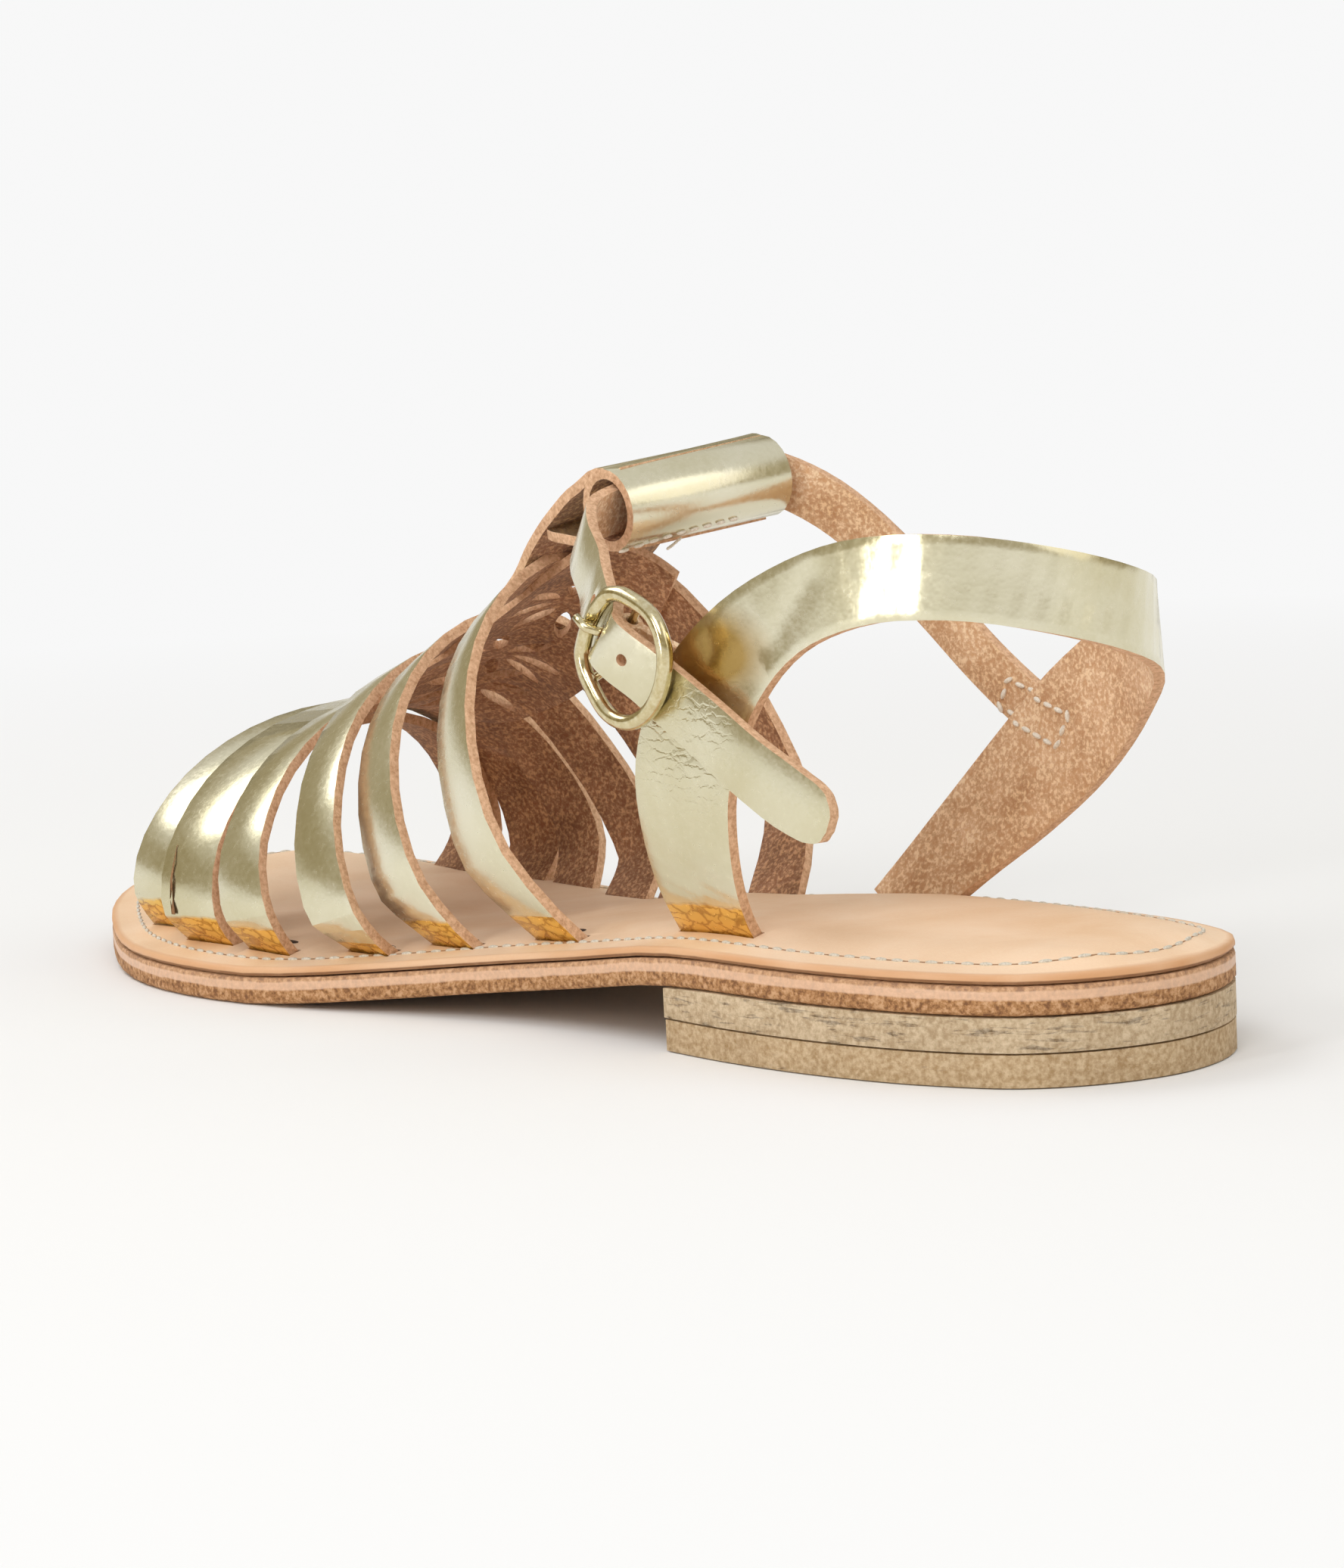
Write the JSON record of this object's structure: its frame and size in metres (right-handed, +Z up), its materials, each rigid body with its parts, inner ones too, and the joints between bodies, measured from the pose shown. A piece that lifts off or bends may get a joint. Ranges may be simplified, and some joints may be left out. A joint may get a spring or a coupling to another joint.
{
  "type": "cage sandal",
  "caption": "Left flat leather cage sandal: arched straps over a perforated centre piece, heel band, rolled instep loop and buckled ankle strap.",
  "frame": {"origin": "middle of the sole's length and width, on the floor", "axes": "+X to the toe, +Y to the outer (left) side of the foot, +Z up"},
  "size_m": [0.25, 0.0932, 0.0892],
  "materials": {
    "sole_leather": "raw edge",
    "insole_leather": "satin",
    "heel_leather": "sanded stack",
    "heel_leather_low": "sanded stack",
    "gold_foil_leather": "gold foil",
    "gold_foil_heel_strap": "gold foil",
    "gold_foil_ankle_strap": "gold foil",
    "buckle_metal": "polished",
    "prong_metal": "polished",
    "tab_leather": "suede",
    "rivet_metal": "polished"
  },
  "bodies": {
    "root": {"outsole": "sole_leather", "insole": "insole_leather", "heel_lift_upper": "heel_leather", "heel_lift_lower": "heel_leather_low", "upper": "gold_foil_leather", "heel_strap": "gold_foil_heel_strap", "ankle_strap": "gold_foil_ankle_strap", "buckle_frame": "buckle_metal", "buckle_prong": "prong_metal", "buckle_tab": "tab_leather", "rivet": "rivet_metal"}
  },
  "joints": []
}
